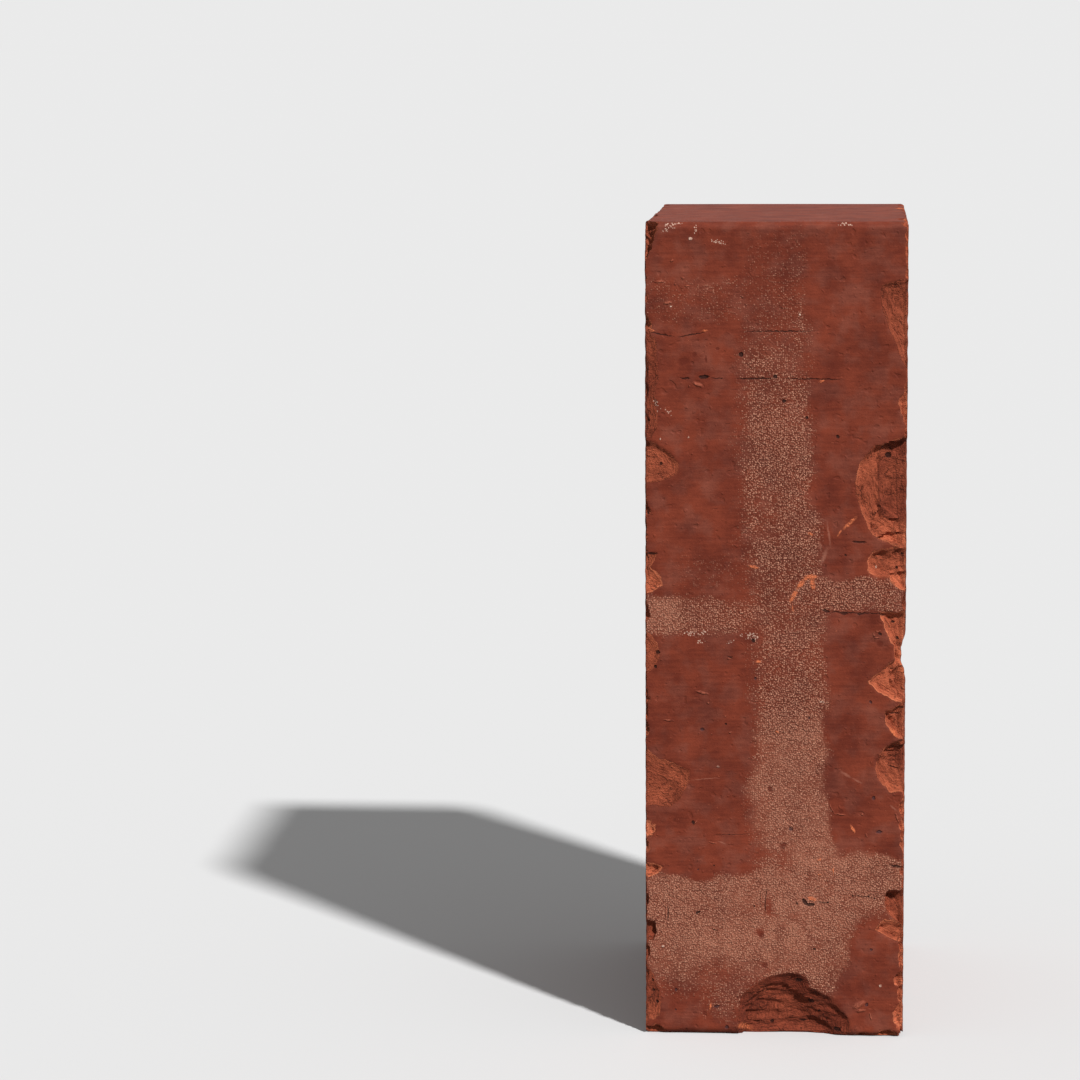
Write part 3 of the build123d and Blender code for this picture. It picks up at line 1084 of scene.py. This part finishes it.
# %% Cracks and orange scuffs
cracks = [
    (-33.5, 128.6, -30.8, 128.6, 0.42), (19.8, 132.0, 23.5, 131.9, 0.42),
    (12.2, 114.1, 14.1, 113.4, 0.42), (17.2, 113.1, 18.7, 113.2, 0.55),
    (21.3, 113.1, 22.8, 113.1, 0.45), (27.1, 113.0, 28.8, 112.6, 0.42),
    (12.4, 113.6, 29.5, 113.1, 0.18), (-10.3, 186.7, 11.6, 186.8, 0.20),
    (-33.6, 186.8, -25.8, 185.1, 0.17), (-25.8, 185.1, -18.1, 186.5, 0.17),
    (-24.8, 174.5, -22.2, 174.5, 0.3), (-17.0, 174.6, -13.5, 174.5, 0.15),
    (-11.1, 174.4, 0.5, 174.5, 0.24), (0.5, 174.5, 18.0, 174.3, 0.20),
    (-12.6, 101.5, -11.0, 101.4, 0.2), (30.0, 46.4, 33.6, 45.9, 0.42),
    (-28.0, 35.2, -28.1, 30.2, 0.2), (-2.1, 40.4, -2.5, 32.6, 0.14),
    (-16.4, 53.9, -4.9, 54.3, 0.07), (20.6, 38.2, 26.2, 37.6, 0.12),
    (-16.4, 28.6, -15.0, 28.1, 0.2), (11.0, 36.3, 14.4, 36.0, 0.14),
    (32.2, 93.4, 34.0, 92.7, 0.4), (31.4, 88.3, 34.0, 88.4, 0.35),
    (29.4, 86.8, 32.9, 86.6, 0.4), (28.9, 73.0, 32.6, 71.7, 0.35),
]
scuffs = [
    (3.9, 116.1, 5.8, 119.8, 0.69), (5.8, 119.8, 8.2, 122.7, 0.79),
    (7.7, 122.7, 10.6, 122.7, 0.79), (9.5, 122.2, 9.9, 119.8, 0.90),
    (4.4, 115.6, 4.6, 113.2, 0.26), (15.9, 133.3, 17.0, 134.9, 0.37),
    (17.7, 135.4, 20.9, 138.5, 0.63), (-6.9, 125.5, -4.3, 125.0, 0.5),
    (8.4, 134.3, 9.6, 133.8, 0.45), (11.4, 173.7, 12.4, 174.2, 0.42),
    (-32.8, 186.9, -31.5, 186.9, 0.34), (-19.1, 186.9, -17.6, 186.9, 0.34),
    (-16.9, 6.8, -16.7, 8.4, 0.4), (-4.7, 100.2, -4.1, 100.3, 0.45), (0.3, 81.9, 0.8, 81.6, 0.4),
    (9.1, 37.3, 10.6, 36.9, 0.75), (11.4, 47.5, 12.1, 47.6, 0.35), (11.7, 43.6, 12.2, 43.5, 0.35),
    (15.4, 45.9, 15.5, 43.4, 0.24), (20.0, 56.9, 21.0, 55.0, 0.45), (-9.0, 2.4, -6.0, 0.8, 1.2),
    (30.0, 82.8, 31.8, 80.8, 0.6), (33.0, 98.6, 33.6, 95.8, 0.5),
]
print("Cracks", len(cracks), "scuffs", len(scuffs))

# %% Bumps with a painted highlight, dark stains and a dent's painted shade
bumps = [
    (-20.6, 92.3, -17.4, 91.5, 0.5), (-17.4, 89.2, 0.4), (-21.2, 173.3, -19.2, 172.5, 0.7),
    (-22.5, 172.5, 0.35), (-11.7, 81.4, 0.4), (-16.6, 80.9, 0.3),
    (-29.1, 84.6, -26.5, 84.4, 0.35),
    (23.9, 54.6, 24.3, 54.0, 0.36), (22.9, 59.9, 0.42),
    (-31.3, 199.6, -29.0, 199.6, 0.5), (-26.0, 198.9, 0.4), (-23.4, 198.4, -22.6, 198.4, 0.35),
    (-24.1, 200.5, 0.5), (-26.9, 204.9, 0.5), (-28.8, 194.0, -27.2, 194.2, 0.5),
    (21.3, 8.0, 23.4, 9.2, 1.0), (21.8, 7.0, 24.0, 7.2, 0.6), (14.4, 62.6, 15.6, 60.0, 0.3),
    (15.6, 60.0, 18.7, 59.6, 0.3),
    (26.7, 113.7, 29.3, 113.2, 0.36), (14.4, 114.0, 17.2, 113.8, 0.25),
    (25.6, 107.2, 25.7, 108.2, 0.3), (25.8, 108.4, 27.4, 108.8, 0.26),
    (25.8, 106.9, 27.0, 106.8, 0.26), (-12.7, 101.0, -11.0, 101.1, 0.2),
    (-21.2, 56.8, -20.4, 57.6, 0.34), (-4.2, 103.7, -2.3, 106.1, 0.2),
    (31.6, 60.4, 32.4, 58.0, 0.4), (25.2, 6.6, 25.8, 4.4, 0.3),
    (-17.2, 52.0, -15.2, 51.7, 0.3), (-12.9, 85.7, 0.3),
    (-28.6, 34.8, -28.7, 30.4, 0.25), (-3.4, 39.6, -3.6, 34.0, 0.25),
]
# The stain at (27.2, 105.2) is the painted shade of a shallow dent.
stains_and_dent_shade = [
    (-24.6, 178.6, -23.2, 179.2, 1.3), (-21.1, 180.6, 0.9), (-18.1, 178.5, -18.1, 180.3, 0.4),
    (-15.1, 182.1, 0.6), (-3.3, 26.9, 1.0), (-2.4, 18.9, 1.1), (-18.5, 5.7, 0.8), (2.2, 51.2, 1.2),
    (27.2, 105.2, 1.2), (17.3, 60.6, 0.8), (13.3, 72.5, 0.4), (-1.2, 66.4, 1.0), (26.9, 74.8, 1.4),
]
print("Bumps", len(bumps), "stains_and_dent_shade", len(stains_and_dent_shade))

# %% Pale specks, crusts and lines
specks = [
    (-22.1, 210.6, 0.5), (6.1, 191.0, 0.4), (-27.2, 193.1, 0.3), (26.1, 125.3, 0.42),
    (-14.9, 72.2, 0.36), (-29.4, 23.8, 0.45), (28.0, 13.9, 0.5), (-2.5, 3.0, 0.47),
    (-22.6, 159.1, 0.28), (-30.0, 158.7, 0.32), (12.0, 89.8, 0.36), (12.7, 89.7, 0.34),
]
crusts = [
    (-23.9, 107.9, -21.1, 107.2, 1.0), (-20.6, 107.6, -17.4, 108.0, 0.9),
    (-20.6, 105.2, -19.0, 105.4, 0.9), (-12.7, 105.5, -11.0, 105.5, 0.7),
    (-8.5, 107.3, -4.3, 106.7, 1.2), (-28.8, 214.2, -25.1, 214.4, 1.2),
    (-29.4, 212.6, -27.8, 212.9, 0.7), (16.5, 214.2, 19.1, 214.2, 1.0),
    (-16.4, 209.9, -13.3, 209.4, 0.9), (-20.8, 214.2, -20.9, 211.6, 0.5),
    (-31.8, 169.5, -30.2, 166.0, 0.8), (-28.6, 166.6, -27.0, 165.0, 0.7),
]
# The two lines from (17.2, 71.4) to (23.0, 68.2) are a painted highlight along a low ridge.
pale_lines = [
    (10.4, 139.6, 10.1, 136.6, 0.4), (13.2, 138.0, 14.4, 130.2, 0.4),
    (13.4, 130.4, 11.7, 125.6, 0.8), (11.2, 132.2, 12.0, 129.6, 0.5),
    (-22.9, 68.5, -13.3, 69.3, 0.20), (-15.1, 52.3, -12.8, 51.6, 0.28),
    (17.2, 71.4, 20.0, 69.6, 0.5), (20.0, 69.6, 23.0, 68.2, 0.35), (30.0, 62.6, 32.0, 61.0, 0.35),
]
print("Pale specks", len(specks), "crusts", len(crusts), "pale lines", len(pale_lines))

# %% Draw the marks
# Pits and scuffs reach this many millimetres in from the front, so deep breaks show them too
DEEP_MARK = 9.0
# From its rim a mark grows to full strength at this share of the way to its middle
pit = ease(marks(pits, shaken, depth=DEEP_MARK), 0.0, 0.45)
iron = ease(marks(irons, shaken), 0.0, 0.6)
crack = ease(marks(cracks, shaken), 0.0, 0.6)
scuff = ease(marks(scuffs, shaken, depth=DEEP_MARK), 0.0, 0.55)
bump = ease(marks(bumps, shaken), 0.0, 0.7)
stain_and_dent_shade = ease(marks(stains_and_dent_shade, shaken), 0.0, 0.6)
speck = ease(marks(specks, shaken), 0.0, 0.5)
pale_line = ease(marks(pale_lines, shaken), 0.0, 0.8)
crust_here = marks(crusts, shaken)
print("Nodes with the marks:", len(tree.nodes))

# %% [markdown]
# # Colours of the skin
# The die-smooth skin is a dark, saturated red, with duller patches and a fine grain, and
# only a trace of streaks the way the clay was pushed. Small flecks of brighter clay and
# short dark dashes break it up, and the dashes are painted shade in fine creases. In the
# bands pale grit sits on it as separate grains, each about a third of a millimetre, with
# dark gaps between them that are painted shade, and a thin pale film joins them where the
# grit lies thick. A Voronoi Texture gives one middle in each small cell, so the grains keep
# apart as real ones do. A random number for each cell says whether its grain is there, and
# the band says how likely that is.

# %% Skin
patches = speckle(8.0, 3.0)
small_tone = speckle(1.5, 4.0, (1.8, 1, 1), 0.6)
fine_tone = speckle(0.34, 2.0)
streak = speckle(0.7, 2.0, (16, 1, 1))
# How much each pattern counts in the tone, and a shift that is the same everywhere
tone = total(
    times(patches, 0.7), times(small_tone, 0.4), times(fine_tone, 0.25), times(streak, 0.3), 0.225
)
tone = ease(tone, 0.75, 1.38)
red_skin = mix(tone, colour(92, 35, 22), colour(132, 59, 39))
dull_skin = mix(tone, colour(92, 40, 29), colour(134, 69, 52))
skin = mix(ease(speckle(5.0, 3.0), 0.42, 0.66), red_skin, dull_skin)
fleck = ease(speckle(0.8, 2.0, (1.6, 1, 1), 0.6), 0.69, 0.77)
dash = ease(speckle(0.42, 1.0, (5, 1, 1)), 0.25, 0.18)
skin = mix(times(fleck, 0.45), skin, colour(168, 88, 62))
# The short dark dashes are painted shade in fine creases.
skin = mix(times(dash, 0.5), skin, colour(66, 27, 19))
print("Nodes with the skin:", len(tree.nodes))

# %% One cell for each grain of grit
GRAIN_SPACING = 0.50
NUDGE_MM = 0.45
NUDGES_PER_MM = 3.0
band_here = stored("band")
nudge = step("ShaderNodeTexNoise", {"Vector": place, "Scale": NUDGES_PER_MM, "Detail": 1.0})[1]
nudged = move(place, enlarge(nudge, NUDGE_MM))
x_here, _, z_here = step("ShaderNodeSeparateXYZ", {0: nudged})
flat_place = step("ShaderNodeCombineXYZ", {0: x_here, 1: z_here})[0]
cells = step("ShaderNodeTexVoronoi", {
    "Vector": flat_place, "Scale": 1 / GRAIN_SPACING, "Randomness": 0.85,
}, voronoi_dimensions="2D")
chance_here, size_here, bright_here = step("ShaderNodeSeparateColor", {0: cells["Color"]})
is_there = ease(calc("SUBTRACT", band_here, chance_here), -0.22, 0.22)
is_there = times(is_there, ease(band_here, 0.02, 0.16))
rim_of_grain = total(times(size_here, 0.16), 0.24)
grain_shape = ease(calc("SUBTRACT", rim_of_grain, cells["Distance"]), -0.16, 0.20)
grit = times(times(is_there, grain_shape), ease(fine_tone, 0.35, 0.62, 0.5, 1.15))
print("Grains lie about", GRAIN_SPACING, "mm apart")

# %% Film, gaps and grains
gap = times(ease(cells["Distance"], 0.30, 0.64), band_here)
film_here = times(stored("film"), ease(small_tone, 0.3, 0.65, 0.6, 1.0))
film_here = times(film_here, ease(speckle(3.2, 3.0), 0.34, 0.62, 0.6, 1.05))
film_here = times(film_here, ease(band_here, 0.10, 0.55))
dusty = mix(times(film_here, 0.95), skin, colour(164, 102, 80))
# Between the grains the skin is painted darker than bare skin, as painted shade between the
# grains.
dusty = mix(times(gap, calc("SUBTRACT", 0.70, times(film_here, 0.50))), dusty, colour(72, 30, 20))
pepper = times(ease(speckle(0.42, 2.0), 0.44, 0.34), times(film_here, 0.45))
dusty = mix(pepper, dusty, colour(84, 40, 29))
grain_strength = times(ease(band_here, 0.05, 0.7, 0.30, 0.95), ease(bright_here, 0, 1, 0.5, 1.0))
grain_strength = times(grain_strength, calc("SUBTRACT", 1.0, times(film_here, 0.38)))
skin = mix(times(grit, grain_strength), dusty, colour(218, 156, 128))
crust = times(ease(calc("SUBTRACT", crust_here, times(chance_here, 0.8)), 0.0, 0.12), grain_shape)
print("Nodes with the grit:", len(tree.nodes))

# %% [markdown]
# # Colours of the breaks
# A break shows the brighter orange body of the clay. Its layers run along the grain that
# the mesh stores, so the random patterns are stretched that way. Its colour is painted
# darker in the low places of the torn relief and lighter on the high ones, as painted shade
# and highlight, with real blotches mixed in. The cracks between layers are painted nearly
# black, as painted shade in them. Fine ripples follow the outline, and the thin rim of a
# fresh break is painted paler, as a painted highlight where its steep side faces the light.
# A break of low lightness is darker all over: an old one because dirt has gone into it, and
# the foot and the top of the right bowl as painted shade.

# %% Where the clay is broken
grain_place = step("ShaderNodeAttribute", {}, attribute_name="grain_place")["Vector"]
layers = apart(speckle(1.3, 4.0, (2.2, 1, 1), 0.65, grain_place), 0.5)
crack_field = speckle(2.4, 3.0, (3.0, 1, 1), 0.6, grain_place)
crack_line = ease(apart(crack_field, 0.61), 0.004, 0.018, 1.0, 0.0)
crumbs = speckle(0.4, 3.0, (1.3, 1, 1), 0.75)
broken_here = stored("broken")
edge_here = stored("edge_break")
crumbled = calc("SUBTRACT", crumbs, 0.5)
is_broken = ease(calc("ADD", broken_here, times(crumbled, 0.9)), -0.05, 0.15)
is_worn = ease(calc("ADD", edge_here, times(crumbled, 1.2)), -0.1, 0.15)
print("Nodes up to the breaks:", len(tree.nodes))

# %% Breaks and worn edges
ripple_place = step("ShaderNodeCombineXYZ", {
    0: times(broken_here, 2.4), 1: times(x_here, 0.25), 2: times(z_here, 0.25),
})[0]
ripple = speckle(1.0, 3.0, roughness=0.6, where=ripple_place)
blotches = speckle(3.0, 3.0)
# The tone follows the torn relief: low places are painted darker and high ones lighter, as painted
# shade and highlight, with real blotches mixed in.
mottle_and_relief_shading = total(times(layers, -0.5), times(crumbs, 0.6), times(blotches, 0.4), times(ripple, 0.45))
clay_tone_and_shading = ease(mottle_and_relief_shading, 0.42, 0.90)
new_clay = mix(clay_tone_and_shading, colour(142, 65, 44), colour(206, 110, 76))
# Dark clay: dirt on old breaks, and painted shade on the foot and the right bowl's top.
dark_clay = mix(clay_tone_and_shading, colour(68, 28, 18), colour(136, 62, 43))
lightness_now = ease(stored("lightness"), 0.0, 1.0)
body = mix(lightness_now, dark_clay, new_clay)
# The cracks between layers are painted nearly black, as painted shade in them.
body = mix(times(crack_line, 0.45), body, colour(50, 20, 13))
# The thin rim of a fresh break is painted paler, a painted highlight where its steep side faces
# the light.
painted_rim_highlight = times(ease(broken_here, -0.05, 0.12), ease(broken_here, 0.25, 0.6, 1.0, 0.0))
body = mix(times(times(painted_rim_highlight, 0.55), ease(lightness_now, 0.4, 0.85)), body, colour(214, 124, 88))
# Worn edges take the same tone, so they too are painted darker in low places and lighter on high
# ones.
worn = mix(ease(mottle_and_relief_shading, 0.36, 0.86), colour(92, 38, 26), colour(172, 86, 58))
surface = mix(is_worn, skin, worn)
surface = mix(is_broken, surface, body)
print("Nodes with the breaks:", len(tree.nodes))

# %% [markdown]
# # Colour of the wire-cut beds
# The wire dragged through wet clay leaves fine lines along its way, slanted like the furrow,
# and tears out crumbs and shallow scales. The face isn't burnished by the die, so it is
# rougher and a little paler than the skin. A slanted copy of the place makes the patterns
# follow the wire.

# %% The wire-cut beds
x_now, y_now, z_now = step("ShaderNodeSeparateXYZ", {0: place})
slant = times(calc("SUBTRACT", y_now, front), FURROW["fall"] / (back - front))
drag_place = step("ShaderNodeCombineXYZ", {0: x_now, 1: y_now, 2: calc("ADD", z_now, slant)})[0]
cut_here = stored("cut")
drag_lines = speckle(0.6, 3.0, (1, 9, 1), 0.55, drag_place)
torn_out = speckle(2.4, 4.0, (1, 2.0, 1), 0.62, drag_place)
tears = ease(total(torn_out, times(patches, 0.35)), 0.76, 0.84)
cut_tone = total(times(drag_lines, 0.35), times(crumbs, 0.6), times(patches, 0.35))
cut_clay = mix(ease(cut_tone, 0.40, 0.90), colour(98, 44, 31), colour(152, 80, 58))
cut_clay = mix(times(tears, 0.4), cut_clay, colour(92, 38, 25))
unworn = times(calc("SUBTRACT", 1.0, is_broken), calc("SUBTRACT", 1.0, is_worn))
surface = mix(times(ease(cut_here, 0, 0.5), unworn), surface, cut_clay)
print("The wire's lines fall by", FURROW["fall"], "mm from front to back")

# %% Marks over the surface
texture = ease(calc("ADD", fine_tone, small_tone), 0.86, 1.10, 0.2, 1.0)
# Stains are painted darker, and the one at (27.2, 105.2) is painted shade of a dent.
surface = mix(times(stain_and_dent_shade, 0.75), surface, colour(92, 34, 21))
# Pale lines are painted lighter, two of them as a painted highlight along a low ridge.
surface = mix(times(pale_line, 0.38), surface, colour(176, 116, 96))
# Bumps are painted lighter over their real relief, as a painted highlight.
surface = mix(times(bump, times(texture, 0.55)), surface, colour(180, 100, 76))
surface = mix(times(scuff, texture), surface, colour(210, 114, 74))
# Cracks and slits are painted near-black, as painted shade in them.
surface = mix(times(crack, 0.85), surface, colour(46, 19, 13))
surface = mix(times(iron, 0.75), surface, colour(62, 44, 48))
# Pits are painted near-black, as painted shade in them.
surface = mix(times(pit, 0.9), surface, colour(42, 20, 15))
pale_spots = calc("MAXIMUM", times(speck, texture), times(crust, 0.85))
surface = mix(pale_spots, surface, colour(214, 178, 158))
print("Nodes in the colours:", len(tree.nodes))

# %% [markdown]
# # Relief and shine
# The finest relief is too small for the mesh, so it goes into a Bump node as real heights
# in millimetres: faint streaks, dimples and blisters in the skin, grains of grit standing
# up, pits going in, and a torn grain in the breaks. Fired clay is dull, and dullest where
# it is broken.

# %% Heights and roughness
SKIN_DULLNESS = 0.74
TORN_DULLNESS = 0.95
dimples = ease(speckle(2.1, 1.0), 0.66, 0.78, 0, -0.12)
blisters = ease(speckle(1.6, 1.0), 0.66, 0.78, 0, 0.10)
skin_relief = total(times(fine_tone, 0.05), times(small_tone, 0.07), times(streak, 0.03))
skin_relief = total(skin_relief, total(dimples, blisters))
grit_relief = total(times(grit, 0.09), times(gap, -0.07), times(dash, -0.05), times(fleck, 0.05))
torn_relief = total(
    times(layers, -0.6), times(crumbs, 0.42), times(crack_line, -0.25), times(ripple, 0.5)
)
is_torn = calc("MAXIMUM", is_broken, times(is_worn, 0.7))
mark_relief = total(times(pit, -0.8), times(iron, -0.25), times(crack, -0.35), times(scuff, 0.08))
mark_relief = total(mark_relief, times(bump, 0.28), times(stain_and_dent_shade, -0.07), times(speck, 0.1))
height = mix_value(is_torn, total(skin_relief, grit_relief), calc("SUBTRACT", torn_relief, 0.25))
cut_relief = total(times(drag_lines, 0.12), times(crumbs, 0.25), times(tears, -0.3))
height = total(height, times(cut_here, cut_relief), mark_relief)
relief = step("ShaderNodeBump", {"Height": height, "Distance": 1 / MM, "Strength": 1.0})[0]
dullness = ease(calc("MAXIMUM", is_broken, cut_here), 0, 1, SKIN_DULLNESS, TORN_DULLNESS)
print("Nodes with the relief:", len(tree.nodes))

# %% Put the finish together
MIRROR_STRENGTH = 0.15
finish = step("ShaderNodeBsdfPrincipled", {
    "Base Color": surface, "Roughness": dullness, "Normal": relief,
    "Specular IOR Level": MIRROR_STRENGTH,
})
step("ShaderNodeOutputMaterial", {"Surface": finish[0]})
shape.materials.append(clay)
print("Nodes in the finish:", len(tree.nodes))
